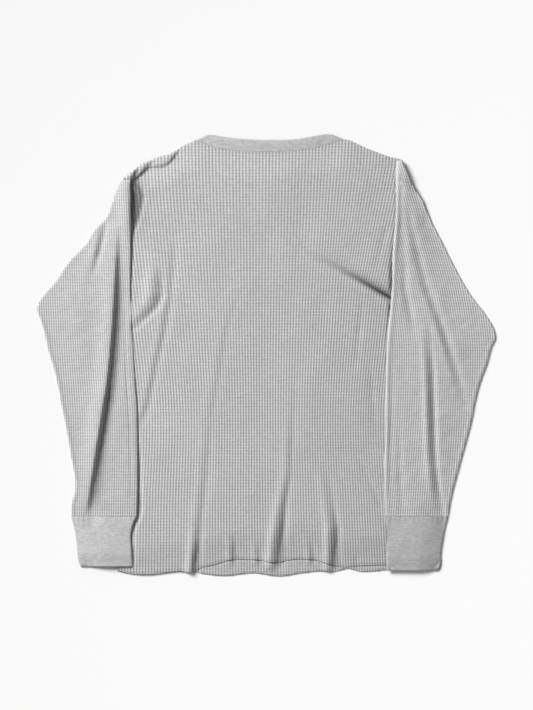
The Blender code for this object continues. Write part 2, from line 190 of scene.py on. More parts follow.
def shade(left, right, *knots):
    """The same line, where its knots end in the share of its light that the knit loses there."""
    return Crease(*mm(left, right), [Knot(*mm(x, y), lost) for x, y, lost in knots])


# These tables are in millimetres.
SHOULDER_LEFT = edges(
    (-239, 258.5), (-230.9, 276), (-217.7, 288.1), (-207, 297.5), (-198.1, 304.7), (-184.8, 309.4),
    (-172.5, 315.5), (-157.9, 319.1), (-148.2, 323.4), (-132.5, 333.1), (-114.3, 341.1),
)
SHOULDER_RIGHT = edges(
    (120.4, 343.6), (129.9, 342.2), (154.4, 331.2), (178.7, 321.5), (207.8, 312), (213.9, 310.4),
    (220.1, 297.2), (239, 258.5),
)
BAND_SEAM = edges(
    (-114.3, 341.1), (-102.1, 338.4), (-90, 332.5), (-67.6, 327.2), (-33.2, 324.7), (6.5, 323.7),
    (35.9, 324.7), (66.9, 328), (92.4, 334.2), (111.5, 340.1), (120.4, 343.6),
)
BAND_TOP = edges(
    (-93.7, 350.4), (-84.9, 349.6), (-62.5, 346.1), (-33.2, 343.3), (6.5, 342.2), (49.4, 343.6),
    (70.1, 347.1), (94.4, 351), (104.8, 350.8),
)
FRONT_HEM = edges(
    (-239, -343), (-217.8, -347.9), (-192.5, -349.5), (-136.6, -344.2), (-111.3, -346.3), (-70.8, -350.6),
    (-20.5, -346.3), (22.4, -351.2), (54.1, -346.3), (92.1, -343.1), (110, -344.2), (127.4, -339.1),
    (147.9, -343.8), (173.1, -343), (187.8, -341.5), (239, -338),
)
BACK_HEM = edges(
    (-239, -342), (-217.8, -347.1), (-192.5, -348.7), (-136.6, -343.4), (-115, -344), (-106.4, -339.1),
    (-84.1, -333.6), (-60.6, -326.4), (-20.5, -325.2), (22.4, -328.8), (28.8, -327.2), (79.3, -326.4),
    (104.8, -334.1), (122.6, -336.8), (150, -335), (187.8, -333.6), (239, -333),
)

# The edges of the folded sleeves, as distances from the middle of the body.
INNER_LEFT = sides(
    (278.5, 217.2), (267.4, 216), (230, 215.6), (196.5, 215.2), (145.8, 215.7), (95.7, 215.8),
    (32.1, 214), (8.3, 212), (-42.6, 209), (-75.4, 206.2), (-118.9, 205), (-169.2, 204.6),
    (-219.9, 204.6), (-255.7, 205.7),
)
OUTER_LEFT = sides(
    (278.5, 228.6), (273, 232.8), (259, 239.5), (238.3, 245.5), (226.1, 250.4), (219.3, 253.4),
    (211.8, 258.4), (207.8, 263.8), (173.6, 289.2), (151.4, 311.5), (114.8, 336.9), (87.8, 359.8),
    (80, 363.4), (71.9, 364.4), (57.6, 359.8), (36.9, 353.6), (8.3, 347.3), (-29.9, 335.8),
    (-75.4, 326.9), (-118.9, 318), (-156.6, 311.6), (-219.9, 305.3), (-235, 309.7), (-255.7, 310.6),
)
INNER_RIGHT = sides(
    (308.5, 207), (294.5, 205.8), (221.3, 204.5), (159.3, 200), (98.9, 198.5), (73.5, 196.5),
    (36.9, 192.5), (-7.6, 189.8), (-50, 188.8), (-130, 188), (-180, 186.2), (-219.1, 185.6),
    (-255.7, 188),
)
OUTER_RIGHT = sides(
    (308.5, 214.8), (297.2, 220.1), (280.2, 227.4), (265.5, 234.7), (249.9, 244.4), (208.6, 263.8),
    (177.9, 279.7), (151.4, 292.7), (87.8, 329.9), (65.8, 347.1), (36.9, 362.8), (27.3, 364.1),
    (12.4, 357.9), (-13.2, 350.8), (-39.9, 340.9), (-70.4, 332.5), (-103, 326.4), (-136.4, 317.7),
    (-181.9, 305.1), (-227, 293.7), (-255.7, 288.6),
)
CUFF_INNER_LEFT = sides((-256, 205.7), (-265.2, 210.2), (-283.3, 214.8), (-310, 214), (-336.8, 212.9))
CUFF_OUTER_LEFT = sides((-256, 310.6), (-277.9, 305.3), (-300, 302), (-326.4, 299.1), (-336.8, 296))
CUFF_INNER_RIGHT = sides((-256, 188), (-270, 189.8), (-300, 190.8), (-343.1, 190.5))
CUFF_OUTER_RIGHT = sides((-256, 288.6), (-282.7, 282.2), (-316.1, 276.8), (-339.1, 275.9), (-343.1, 273))

# Where the wales run on the back, and where each sleeve's grain line stands.
BACK_WALES = wales(
    (-350, 4.45, 3), (-240, 4.36, 1), (-100, 4.23, 0), (50, 4.55, 0), (180, 4.92, 1), (300, 5.25, 2),
    (360, 5.35, 3),
)
GRAIN_LEFT = sides((300, 223), (150, 216.5), (0, 209.5), (-100, 203), (-260, 204.5))
GRAIN_RIGHT = sides((310, 144), (200, 176), (100, 202), (20, 213), (-60, 212), (-260, 200))

# How far from each sleeve's edge the back starts to swell.
ROOM_LEFT = sides(
    (300, 18), (270, 24), (250, 27), (230, 24), (210, 17), (195, 10), (150, 7), (100, 4), (50, 0), (0, 1),
    (-100, 4), (-160, 9), (-350, 11),
)
ROOM_RIGHT = sides((320, 4), (200, 3), (150, 6), (60, 6), (0, 3), (-350, 3))
# The lower edge of the left shoulder's roll, and its creases.
ROLL_EDGE = edges(
    (-239, 285), (-227, 281), (-220, 273.5), (-216, 270), (-211, 275.2), (-203.4, 283.3), (-192.2, 292.9),
    (-184.3, 296.9), (-168.4, 297.6), (-155.7, 303.2), (-142.9, 318.3), (-135, 329.4), (-125, 340),
)

ROLL_CREASES = [
    crease(3.2, 4.8,  # the slit in the left shoulder's roll
        (-199.5, 303, -0.6), (-201.8, 299.2, -3), (-206, 290, -4.4), (-211.3, 278.6, -3.6),
        (-214, 273, -1),
    ),
    crease(3, 4.5, (-175.5, 310, -0.4), (-180, 305, -2), (-188, 297.5, -2.2), (-195, 292, -0.8)),
    crease(6, 6, (-209, 299, 1.2), (-215, 286, 1.6)),
]
BACK_CREASES = [
    crease(7, 4.6,  # the right armpit's crease
        (56, 180, -0.2), (69, 162, -0.8), (86, 150, -1.6), (120, 134.5, -3), (160, 112.5, -5.2),
        (199, 89.5, -7), (215, 80, -7),
    ),
    crease(5, 12,  # the lip under it
        (86, 144, 0.4), (120, 125, 1.4), (156, 104, 2.6), (195, 78, 3.6), (210, 68, 3.6),
    ),
    crease(30, 13,  # and the swell over it
        (80, 190, 0.6), (130, 158, 2.4), (170, 133, 4.4), (200, 112, 5.6), (215, 102, 5.6),
    ),
    crease(13, 11,  # the left armpit's bulge
        (-180, 148, 0.6), (-184, 118, 3.6), (-185, 95, 4.2), (-193, 76, 2.6), (-205, 64, 1.6),
    ),
    crease(5, 8,  # and the trough round it
        (-170, 134.5, -0.4), (-166, 115, -1.8), (-165, 96, -2.6), (-173, 76, -2.6), (-194.5, 56, -2.2),
        (-206.7, 44, -1.6),
    ),
    crease(7, 6,  # a long soft valley beside it, down to the sleeve
        (-143.5, 195, -0.2), (-148, 135, -1.2), (-153, 80, -1.3), (-160.4, 40.1, -1.5),
        (-173.2, -15.6, -1.3), (-189, -87.1, -1.4), (-198.6, -111, -0.6),
    ),
    crease(8, 8, (-154, 175, 0.2), (-159, 100, 0.7), (-172, 30, 1), (-186, -30, 1), (-199, -90, 0.8)),
    crease(6, 6,  # flutes that run up from the hem, each a ridge and a valley
        (-33.2, 111.6, -0.2), (-57.1, 56, -0.6), (-85.7, -95.1, -0.5), (-93.7, -190.5, -0.9),
        (-104, -270, -1.3), (-110, -334, -4.6), (-110.5, -345, -4.6),
    ),
    crease(8.5, 6,
        (-70, 50, 0.3), (-99, -95.1, 0.4), (-107, -190.5, 0.8), (-117, -270, 1.5), (-123, -345, 5),
    ),
    crease(5.5, 5.5,
        (46.3, -39.4, -0.2), (43, -110, -0.8), (38.3, -190.5, -1), (31, -238.2, -2), (26.2, -294, -4.6),
        (23.8, -335.2, -5),
    ),
    crease(9, 7,
        (34, -80, 0.2), (29, -190.5, 1.4), (18, -238.2, 2.6), (8.5, -294, 4.4), (5, -335.2, 5.2),
    ),
    crease(5, 5.5, (96, -190, -0.2), (107, -235, -1.3), (113.5, -275, -2.8), (112, -340, -5.2)),
    crease(8, 6, (83, -190, 0.2), (92, -235, 1.8), (97.5, -275, 3.6), (96, -340, 5)),
    crease(4, 5, (142, -155, -0.2), (164, -198.4, -1.2), (181.4, -238.2, -1), (188, -280, -0.2)),
    crease(4, 4.5, (-51, -285, -0.2), (-48, -330, -2.6)),  # short flutes between them
    crease(7, 5, (-61, -280, 0.2), (-60, -330, 2.6)),
    crease(4, 4.5, (-12, -300, -0.2), (-8, -328, -2.2)),
    crease(6, 4.5, (-23, -295, 0.2), (-18, -328, 2.4)),
    crease(4, 4, (72, -295, -0.2), (76, -328, -2.2)),
    crease(6, 4, (62, -290, 0.2), (66, -328, 2.4)),
    crease(4, 4, (143, -315, -0.2), (144, -340, -1.8)),
    crease(5, 5,  # small slants beside the right sleeve
        (152.8, 87.8, -0.2), (148, 40, -1.1), (141.7, -15.6, -0.4),
    ),
    crease(4.5, 6, (165.5, -10, -0.2), (169, -60, -1), (172, -110, -0.3)),
    crease(4, 6, (190, 195, -1), (173.5, 135.5, -0.3)),
]
BACK_SHADES = [  # where little light gets in: here height is the share of it that is lost
    shade(4.6, 3,  # the right armpit's crease
        (69, 162, 0), (86, 150, 0.08), (120, 134.5, 0.22), (140, 123.5, 0.48), (160, 112.2, 0.74),
        (180, 100.5, 0.9), (199, 89.3, 0.98), (215, 79.5, 0.98),
    ),
    shade(16, 10,  # the hollow under the left sleeve's edge
        (-211, 270, 0.44), (-211.5, 256, 0.56), (-212, 235, 0.54), (-213.5, 215, 0.4), (-215, 196, 0.06),
    ),
    shade(3.8, 2.8,  # and a fold in it
        (-206, 270, 0.2), (-201.8, 262.7, 0.34), (-199, 253.1, 0.42), (-200.2, 238.8, 0.38),
        (-205, 218.2, 0.28), (-211.3, 195.9, 0.04),
    ),
    shade(3, 5,  # the slits in the left shoulder's roll
        (-201.8, 299.2, 0.1), (-206, 290, 0.34), (-211.3, 278.6, 0.3),
    ),
    shade(4, 6, (-105, -290, 0), (-109, -320, 0.22), (-110, -345, 0.34)),  # flutes at the hem
    shade(8, 10, (31, -240, 0), (26.8, -294, 0.16), (24, -335.2, 0.26)),
    shade(6, 8, (111, -260, 0), (113.5, -290, 0.14), (112, -340, 0.26)),
    shade(5, 6, (-50, -295, 0), (-48, -330, 0.24)),
    shade(2, 3, (74, -308, 0), (76, -327, 0.3)),
]
SLEEVE_LEFT_SHADES = [
    shade(10, 8,  # the long trough
        (-232, 180, 0), (-233, 100, 0.22), (-237, 30, 0.3), (-244.5, -47.4, 0.34), (-252, -95.1, 0.34),
        (-264, -190.5, 0.38), (-269, -220, 0.36), (-271.5, -242, 0.2), (-273, -255.7, 0),
    ),
]
SLEEVE_RIGHT_SHADES = [
    shade(4.5, 3,  # a smooth band beside the fold
        (214, 210, 0), (215, 180, 0.09), (215, 120, 0.12), (213, 56, 0.04),
    ),
    shade(6, 6, (217, 298, 0.04), (226, 272, 0.16), (234, 268, 0.12)),  # over the armhole's seam
]
SLEEVE_LEFT_CREASES = [
    crease(10.5, 4.8,  # the long trough down the sleeve
        (-230, 199, -0.4), (-232.5, 143.4, -3.8), (-234.5, 95.7, -5.6), (-237.5, 48, -6.2),
        (-241.5, 0.3, -6.4), (-246.5, -47.4, -6.6), (-254.5, -95.1, -6.6), (-262, -142.8, -6.4),
        (-269, -190.5, -6), (-274, -220, -5.4), (-276.5, -242, -3.6), (-278, -262, -1.2),
    ),
    crease(4, 17,  # and the tall ridge on its outer side
        (-239, 209, 0.2), (-241, 143.4, 3.4), (-243, 95.7, 5), (-245.8, 48, 5.6), (-249.7, 0.3, 5.8),
        (-254.7, -47.4, 6), (-262.7, -95.1, 6), (-270.7, -142.8, 5.6), (-278, -190.5, 5),
        (-283.5, -225, 3.6), (-288, -248, 1.2),
    ),
    crease(4, 6,  # the short crease off the outer edge
        (-254.5, 215, -1), (-259, 185, -3.4), (-264, 164, -3.4), (-273.3, 130.7, -0.6),
    ),
    crease(5, 8, (-268, 195, 1), (-274, 164, 2), (-284, 130, 0.4)),
    crease(8, 13,  # the bulge of the shoulder along the fold
        (-223.5, 279, 1.6), (-221.5, 266, 4.4), (-220.5, 250, 6), (-220, 220, 6), (-219.5, 180, 3.6),
        (-219.5, 120, 2.4), (-218.5, 60, 2), (-215, 0, 1.8), (-209.5, -100, 1.8), (-209, -255.7, 1.8),
    ),
    crease(2.4, 2.4,  # narrow rolls beside the fold
        (-224.5, 120, -0.2), (-225, 50, -1.2), (-222, -30, -1.3), (-217, -110, -1.2), (-215, -200, -0.8),
        (-215, -250, -0.2),
    ),
]
SLEEVE_RIGHT_CREASES = [
    crease(4.4, 4.4,  # the rolled fold at the inner edge
        (208.5, 285, 1.2), (207.5, 220, 1.4), (202.5, 160, 1.4), (200.5, 95.7, 1.4), (195.7, 48, 1.4),
        (192.3, 0.3, 1.6), (191, -47.4, 1.6), (190.5, -130, 1.6), (188.5, -214.3, 1.4),
        (190, -255.7, 1.2),
    ),
    crease(6, 4.4,  # and the valley beside it
        (215, 262.7, -0.6), (214, 215, -1.4), (211, 167.3, -1.2), (209, 119.6, -0.8), (206, 48, -0.2),
        (200, 10, -0.2), (198.5, -60, -0.8), (197.8, -118.9, -1.4), (197, -142.8, -1.4),
        (196, -190.5, -0.8), (197, -225, -0.3),
    ),
    crease(5.6, 7,
        (216, 220, -0.4), (218.5, 170, -1.4), (220.5, 103.7, -2.6), (229.1, 63.9, -2.4),
        (233.9, 40.1, -0.6),
    ),
    crease(6, 8.5,
        (223, 245, -0.6), (229.1, 207, -2), (241.8, 159.3, -2.7), (253, 111.6, -2.9), (273, 63.9, -3),
        (292.7, 8.3, -3), (305, -35, -2.2), (316.6, -79.2, -0.6),
    ),
    crease(1.5, 1.5,  # the armhole's seam, where it shows at the shoulder
        (215, 272.5, 1.2), (218.8, 270.6, 1.2), (234.7, 264.2, 1.2),
    ),
    crease(3, 1, (218, 274, -1.4), (230, 269.5, -1.4), (236, 267.5, -1.4)),
    crease(6, 6, (242, 115, 0.4), (262, 63.9, 1), (281, 8.3, 1.2), (295, -40, 0.4)),
    crease(4.2, 9,  # the deep valley down to the cuff
        (259, 50, -0.4), (261.9, 8.7, -1.6), (265, -30, -3.4), (266.2, -78.2, -4.4), (267, -120, -4.2),
        (269, -170, -3.4), (274, -214.3, -2.6), (281, -255.7, -1),
    ),
    crease(8, 5.5,
        (247, 40, 0.3), (252, -30, 2.4), (254, -90, 3), (255, -150, 2.6), (260, -210, 1.4),
        (265, -240, 0.3),
    ),
    crease(6, 6, (208, -90, -0.2), (211, -150, -1.2), (213, -200, -1.4), (215, -250, -0.6)),
]
# The two ends of the right armpit's crease. The knit over it is pulled in towards the middle.
ARMPIT = edges((86, 150), (199, 89.3))

# outer_top is the height of the outer edge, fold the radius of the inner one, plain the width beside it
# that is pressed smooth, and glow how much painted highlight the outer edge gets. tone paints the whole
# sleeve lighter or darker, painted light that evens out how the lamp falls on each sleeve.
Sleeve = namedtuple(
    "Sleeve",
    "name side inner outer cuff_inner cuff_outer grain creases shades"
    " elbow outer_top fold plain tone glow seed",
)
SLEEVES = [
    Sleeve(
        "left", -1, INNER_LEFT, OUTER_LEFT, CUFF_INNER_LEFT, CUFF_OUTER_LEFT, GRAIN_LEFT,
        SLEEVE_LEFT_CREASES, SLEEVE_LEFT_SHADES,
        elbow=0.072, outer_top=0.0028, fold=0.0020, plain=0.003, tone=0.950, glow=0.04, seed=11,
    ),
    Sleeve(
        "right", 1, INNER_RIGHT, OUTER_RIGHT, CUFF_INNER_RIGHT, CUFF_OUTER_RIGHT, GRAIN_RIGHT,
        SLEEVE_RIGHT_CREASES, SLEEVE_RIGHT_SHADES,
        elbow=0.030, outer_top=0.0024, fold=0.0038, plain=0.014, tone=1.08, glow=0.36, seed=17,
    ),
]

# ---- curves and noise


def smooth(t):
    """0 below 0 and 1 above 1, with an even slope between."""
    t = np.clip(t, 0.0, 1.0)
    return t * t * (3 - 2 * t)


def curve(rows, at, key="x", value="y"):
    """A smooth curve through one column of a table, read at places on another column."""
    keys = np.array([getattr(row, key) for row in rows])
    values = np.array([getattr(row, value) for row in rows])
    order = np.argsort(keys)
    keys, values = keys[order], values[order]
    slopes = np.gradient(values, keys)
    at = np.clip(at, keys[0], keys[-1])
    i = np.clip(np.searchsorted(keys, at) - 1, 0, len(keys) - 2)
    run = keys[i + 1] - keys[i]
    t = (at - keys[i]) / run
    return (
        (2 * t**3 - 3 * t**2 + 1) * values[i]
        + (t**3 - 2 * t**2 + t) * run * slopes[i]
        + (3 * t**2 - 2 * t**3) * values[i + 1]
        + (t**3 - t**2) * run * slopes[i + 1]
    )


def drift(x, y, size, seed):
    """Smooth noise from -1 to 1 that changes over about this size."""
    cells = np.random.default_rng(seed).uniform(-1, 1, (64, 64))
    gx, gy = x / size + 100.0, y / size + 100.0
    ix, iy = np.floor(gx).astype(int), np.floor(gy).astype(int)
    tx, ty = smooth(gx - ix), smooth(gy - iy)
    low = cells[ix % 64, iy % 64] * (1 - tx) + cells[(ix + 1) % 64, iy % 64] * tx
    high = cells[ix % 64, (iy + 1) % 64] * (1 - tx) + cells[(ix + 1) % 64, (iy + 1) % 64] * tx
    return low * (1 - ty) + high * ty


def creased(creases, x, y):
    """What a table of creases adds to the cloth's height."""
    total = np.zeros_like(x)
    for crease in creases:
        nearest = np.full_like(x, np.inf)
        height = np.zeros_like(x)
        for a, b in zip(crease.knots, crease.knots[1:]):
            run_x, run_y = b.x - a.x, b.y - a.y
            length = math.hypot(run_x, run_y)
            t = np.clip(((x - a.x) * run_x + (y - a.y) * run_y) / length**2, 0, 1)
            away = np.hypot(x - a.x - t * run_x, y - a.y - t * run_y)
            leftward = run_x * (y - a.y) - run_y * (x - a.x) > 0
            reach = np.where(leftward, crease.left, crease.right)
            here = (a.height + t * (b.height - a.height)) * np.exp(-((away / reach) ** 2))
            height = np.where(away < nearest, here, height)
            nearest = np.minimum(away, nearest)
        total += height
    return total


def rolled(away, radius):
    """How far a rounded edge has dropped, this far in from it."""
    inside = np.clip(1 - away / radius, 0, 1)
    return radius * (1 - np.sqrt(1 - inside**2))


# ---- closed cloth from a lattice


def merged(x, y):
    """Numbers the points of a lattice so that those at the same place share a number."""
    keys = np.round(x / 2e-5).astype(np.int64) * 1_000_003 + np.round(y / 2e-5).astype(np.int64)
    _, first, number = np.unique(keys, return_index=True, return_inverse=True)
    return first, number.reshape(x.shape)


def clean(loop):
    """A face's points without repeats, or nothing where fewer than three are left."""
    kept = [p for i, p in enumerate(loop) if p != loop[i - 1]]
    return kept if len(set(kept)) > 2 and len(set(kept)) == len(kept) else None


def lattice_faces(number):
    """The faces of a lattice, seen from above."""
    loops = np.stack(
        [number[:-1, :-1], number[:-1, 1:], number[1:, 1:], number[1:, :-1]], axis=-1
    ).reshape(-1, 4)
    return [face for face in map(clean, loops.tolist()) if face]


def strided(count, stride):
    """Every so many of a row of points, always with the last."""
    return sorted(set(range(0, count, stride)) | {count - 1})


def cloth(name, x, y, top, low, wale, course, tone):
    """A closed piece of cloth: a fine lattice above, a coarse one below, and a rim between them.

    wale and course number the knit's cells at each point, and go into the piece's UV map. tone is
    how light the knit is painted there, with painted shade and painted highlight in it.
    """
    first, above = merged(x, y)
    rows, columns = strided(x.shape[0], UNDER_STRIDE), strided(x.shape[1], UNDER_STRIDE)
    few = np.ix_(rows, columns)
    first_low, below = merged(x[few], y[few])
    below = below + len(first)

    def both(values):
        return np.concatenate([values.ravel()[first], values[few].ravel()[first_low]])

    heights = np.concatenate([top.ravel()[first], low[few].ravel()[first_low]])
    points = np.stack([both(x), both(y), heights], axis=1)
    cells = np.stack([both(wale), both(course)], axis=1)
    faces = lattice_faces(above) + [face[::-1] for face in lattice_faces(below)]
    rim = len(faces)
    for i, (start, end) in enumerate(zip(columns, columns[1:])):
        for row in (0, -1):
            loop = list(above[row, start : end + 1]) + [below[row, i + 1], below[row, i]]
            faces.append(clean(loop))
    for i, (start, end) in enumerate(zip(rows, rows[1:])):
        for column in (0, -1):
            loop = list(above[start : end + 1, column]) + [below[i + 1, column], below[i, column]]
            faces.append(clean(loop))
    mesh = bpy.data.meshes.new(name)
    mesh.from_pydata(points.tolist(), [], [[int(p) for p in face] for face in faces if face])
    piece = finished(name, mesh, cells, both(tone))
    for face in mesh.polygons[rim:]:
        face.use_smooth = False
    return piece


def finished(name, mesh, cells, tone):
    """Links a mesh with its UV map and its tone, its faces pointing out and smooth."""
    uv = mesh.uv_layers.new(name="knit")
    corners = np.zeros(len(mesh.loops), dtype=np.int32)
    mesh.loops.foreach_get("vertex_index", corners)
    uv.data.foreach_set("uv", cells[corners].astype(np.float32).ravel())
    shade = mesh.attributes.new("tone", "FLOAT", "POINT")
    shade.data.foreach_set("value", tone.astype(np.float32))
    bm = bmesh.new()
    bm.from_mesh(mesh)
    bmesh.ops.recalc_face_normals(bm, faces=bm.faces[:])
    bm.to_mesh(mesh)
    bm.free()
    piece = bpy.data.objects.new(name, mesh)
    bpy.context.scene.collection.objects.link(piece)
    mesh.shade_smooth()
    mesh.set_sharp_from_angle(angle=SHARP)
    return piece


def waffle(wale, course):
    """The waffle's relief: 0 in a pit, 1 along the upright ribs, and lower ribs across."""
    upright = 0.5 + 0.5 * np.cos(2 * np.pi * wale)
    across = (0.5 + 0.5 * np.cos(2 * np.pi * course)) ** 1.5
    return upright + COURSE_RIB * across * (1 - upright)


# ---- the pieces


def paler_to_hem(y):
    """The knit is a little paler towards the hem."""
    return 1 - TOP_DARKER * np.clip((y - TOP_DARKER_FROM) / TOP_DARKER_RUN, -0.55, 1)


def back_top_y(x):
    """The upper edge of the back panel."""
    y = curve(BAND_SEAM, x)
    y = np.where(x < SHOULDER_LEFT[-1].x, curve(SHOULDER_LEFT, x), y)
    return np.where(x > SHOULDER_RIGHT[0].x, curve(SHOULDER_RIGHT, x), y) - SEAT


def back_cells(x, y):
    """The wale and course at a point of the back."""
    width = curve(BACK_WALES, y, "y", "width")
    straight = x
    for _ in range(6):  # each round comes nearer to where the knit was before it was pulled
        straight = x - pulled(straight, y)
    across = straight - curve(BACK_WALES, y, "y", "middle")
    wale = across / width
    for _ in range(4):
        wale = (across + WALE_NARROWING * wale**2) / width
    return wale, y / COURSE


def back_x(wale, y):
    """Where a wale stands at this height."""
    width = curve(BACK_WALES, y, "y", "width")
    x = curve(BACK_WALES, y, "y", "middle") + wale * width - WALE_NARROWING * wale**2
    return x + pulled(x, y)


def pulled(x, y):
    """How far the knit over the right armpit's crease is pulled aside."""
    slope = (ARMPIT[1].y - ARMPIT[0].y) / (ARMPIT[1].x - ARMPIT[0].x)
    over = y - ARMPIT[0].y - slope * (x - ARMPIT[0].x)
    return PULL * smooth((x - 0.06) / 0.14) * smooth(over / 0.014) * np.clip(0.30 - y, 0, 1)


def inner_reach(x, y):
    """How far from the middle the sleeve on this side starts."""
    left = curve(INNER_LEFT + CUFF_INNER_LEFT[1:], y, "y", "reach")
    right = curve(INNER_RIGHT + CUFF_INNER_RIGHT[1:], y, "y", "reach")
    return np.where(x < 0, left, right)


def shoulder_roll(x, y):
    """The left shoulder's seam rolled over onto the back, with a steep lower edge."""
    ledge = curve(ROLL_EDGE, x)
    slope = (curve(ROLL_EDGE, x + 0.001) - curve(ROLL_EDGE, x - 0.001)) / 0.002
    over = (y - ledge) / np.sqrt(1 + slope**2)
    rise = ROLL_RISE * smooth((-0.1310 - x) / 0.022) + ROLL_SWELL * smooth((-0.1600 - x) / 0.055)
    across = 0.80 + 0.20 * np.sin(np.clip(over / ROLL_WIDTH, 0, 1) * np.pi)
    roll = rise * smooth(over / ROLL_LEDGE) * across
    return np.maximum(roll + creased(ROLL_CREASES, x, y) * smooth(roll / 0.003), 0)


def back_height(x, y):
    """The back panel's upper face: a low swell, the creases, and small unevenness."""
    hem = smooth((y - curve(BACK_HEM, x)) / SWELL_REACH)
    neck = smooth((back_top_y(x) - y) / SWELL_REACH)
    room = np.where(x < 0, curve(ROOM_LEFT, y, "y", "reach"), curve(ROOM_RIGHT, y, "y", "reach"))
    beside = smooth((inner_reach(x, y) - room + BESIDE_SLEEVE - np.abs(x)) / BESIDE_SLEEVE)
    swell = (FLAT_LIFT + SWELL * hem) * neck
    uneven = BROAD_UNEVEN * drift(x, y, BROAD_SIZE, 3) + SMALL_UNEVEN * drift(x, y * 0.5, SMALL_SIZE, 5)
    lift = (swell + uneven * hem * neck + creased(BACK_CREASES, x, y)) * beside
    lift = np.where(lift > 0, lift, SUNK_SHARE * lift)
    roll = shoulder_roll(x, y)
    return BACK_TOP + np.maximum(lift, 0) * (1 - smooth(roll / 0.002)) + np.minimum(lift, 0) + roll


def overlocked(hem_gap):
    """How far the sewn line along a hem stands up."""
    return HEM_EDGE * np.exp(-(((hem_gap - HEM_LINE) / HEM_LINE_WIDTH) ** 2))


def body_lattice(courses, hem, top_y):
    """Points of the body on its wales and courses, drawn in to its outline."""
    half = HALF_WALES * COLUMNS_PER_CELL
    course, wale = np.meshgrid(courses, np.arange(-half, half + 1) / COLUMNS_PER_CELL, indexing="ij")
    y = course * COURSE
    x = back_x(wale, y)
    for _ in range(3):
        x = np.clip(x, -BODY_HALF, BODY_HALF)
        y = np.clip(y, curve(hem, x), top_y(x))
    return x, y


def back_piece():
    """The large face that shows, with half courses where the right armpit's crease runs."""
    even = np.arange(-HALF_COURSES * ROWS_PER_CELL, HALF_COURSES * ROWS_PER_CELL + 1) / ROWS_PER_CELL
    between = even[:-1] + 0.5 / ROWS_PER_CELL
    creased_y = between * COURSE
    fine = between[(creased_y > ARMPIT[1].y - 0.006) & (creased_y < ARMPIT[0].y - 0.020)]
    x, y = body_lattice(np.sort(np.concatenate([even, fine])), BACK_HEM, back_top_y)
    wale, course = back_cells(x, y)
    hem_gap = y - curve(BACK_HEM, x)
    neck_gap = back_top_y(x) - y
    side_gap = BODY_HALF - np.abs(x)
    edge = np.minimum(np.minimum(hem_gap, neck_gap), side_gap)
    shades = np.clip(creased(BACK_SHADES, x, y), 0, DARKEST_BACK)
    strength = (FULL_RELIEF + 0.15 * drift(x, y, 0.02, 8)) * (1 - PRESSED * smooth((y - 0.02) / 0.20))
    strength *= 1 - np.minimum(1.2 * shades, 1)
    top = back_height(x, y) + RELIEF * (waffle(wale, course) * strength - 0.5) * smooth(edge / EDGE_FADE)
    at_band = (x > BAND_SEAM[0].x) & (x < BAND_SEAM[-1].x)
    top -= np.where(at_band, 0.0, rolled(neck_gap, NECK_ROUND)) + rolled(side_gap, SIDE_ROUND)
    top += overlocked(hem_gap) - HEM_THIN * (1 - smooth(hem_gap / HEM_THIN_REACH))
    top = np.maximum(top, BACK_LOW + LEAST_KNIT)
    low = np.maximum(back_height(x, y) - WALL - 0.0010, BACK_LOW)
    low = np.minimum(low, top - LEAST_KNIT)
    return cloth("back_knit", x, y, top, low, wale, course, paler_to_hem(y) * (1 - shades))


def front_piece():
    """The panel on the table. Only its inside shows, in a strip below the back's hem."""
    fine = np.arange(-HALF_COURSES * ROWS_PER_CELL, -STRIP_COURSES * ROWS_PER_CELL) / ROWS_PER_CELL
    hidden = np.arange(-STRIP_COURSES, HALF_COURSES + 1, 3)
    x, y = body_lattice(np.concatenate([fine, hidden]), FRONT_HEM, front_top_y)
    wale, course = back_cells(x, y)
    hem_gap = y - curve(FRONT_HEM, x)
    shows = smooth((STRIP_TOP_Y - y) / 0.006)
    folds = creased(BACK_CREASES, x, y)
    folds = np.where(folds > 0, 0.7 * folds, 0.3 * folds)
    beyond = smooth((curve(BACK_HEM, x) - y) / 0.0015)
    relief = 0.6 * RELIEF * (waffle(wale, course) - 1) * smooth(hem_gap / EDGE_FADE)
    top = FRONT_TOP + (relief + folds) * shows + STRIP_RISE * beyond
    top += (overlocked(hem_gap) - rolled(hem_gap, 0.0008)) * shows
    top = np.maximum(top, 0.0005)
    return cloth("front_knit", x, y, top, np.zeros_like(x), wale, course, np.ones_like(x))


def front_top_y(x):
    """The front's upper edge: its shoulders, and its deep neckline between them."""
    low, high = BAND_SEAM[0].x - SEAT, BAND_SEAM[-1].x + SEAT
    across = np.clip((2 * x - low - high) / (high - low), -1, 1)
    seam_y = (BAND_SEAM[0].y + BAND_SEAM[-1].y) / 2
    y = seam_y - FRONT_DROP * np.sqrt(1 - across**2)
    y = np.where(x < low, curve(SHOULDER_LEFT, x), y)
    return np.where(x > high, curve(SHOULDER_RIGHT, x), y) - SEAT


def hangs_over(reach, outer):
    """How far a sleeve has come down from the body's side onto the table: 0 to 1."""
    start = BODY_HALF - 0.020
    return smooth((reach - start) / np.maximum(outer - 0.004 - start, 0.026))


def sleeve_height(sleeve, reach, y):
    """The upper face of a folded sleeve, before its edges are rounded."""
    x = sleeve.side * reach
    inner = curve(sleeve.inner, y, "y", "reach")
    outer = curve(sleeve.outer, y, "y", "reach")
    across = np.clip((reach - inner) / (outer - inner), 0, 1)
    down = hangs_over(reach, outer)
    at_edge = sleeve.outer_top + (EDGE_ON_BACK - sleeve.outer_top) * (1 - smooth((outer - 0.246) / 0.02))
    crown = SLEEVE_CROWN * np.sin(np.pi * across)
    uneven = 0.0008 * drift(x, y * 0.45, 0.030, sleeve.seed) + 0.0004 * drift(x, y, 0.012, sleeve.seed + 1)
    plain = SLEEVE_TOP * (1 - down) + at_edge * down + crown
    return plain + uneven * np.sin(np.pi * across) + creased(sleeve.creases, x, y)


def sleeve_floor(x, y):
    """What a sleeve lies on: the back, and past its side the table."""
    on_back = np.maximum(SLEEVE_LOW, back_height(x, y) + RELIEF / 2 + SEAT)
    return np.where(np.abs(x) > BODY_HALF + 0.009, SEAT, on_back)


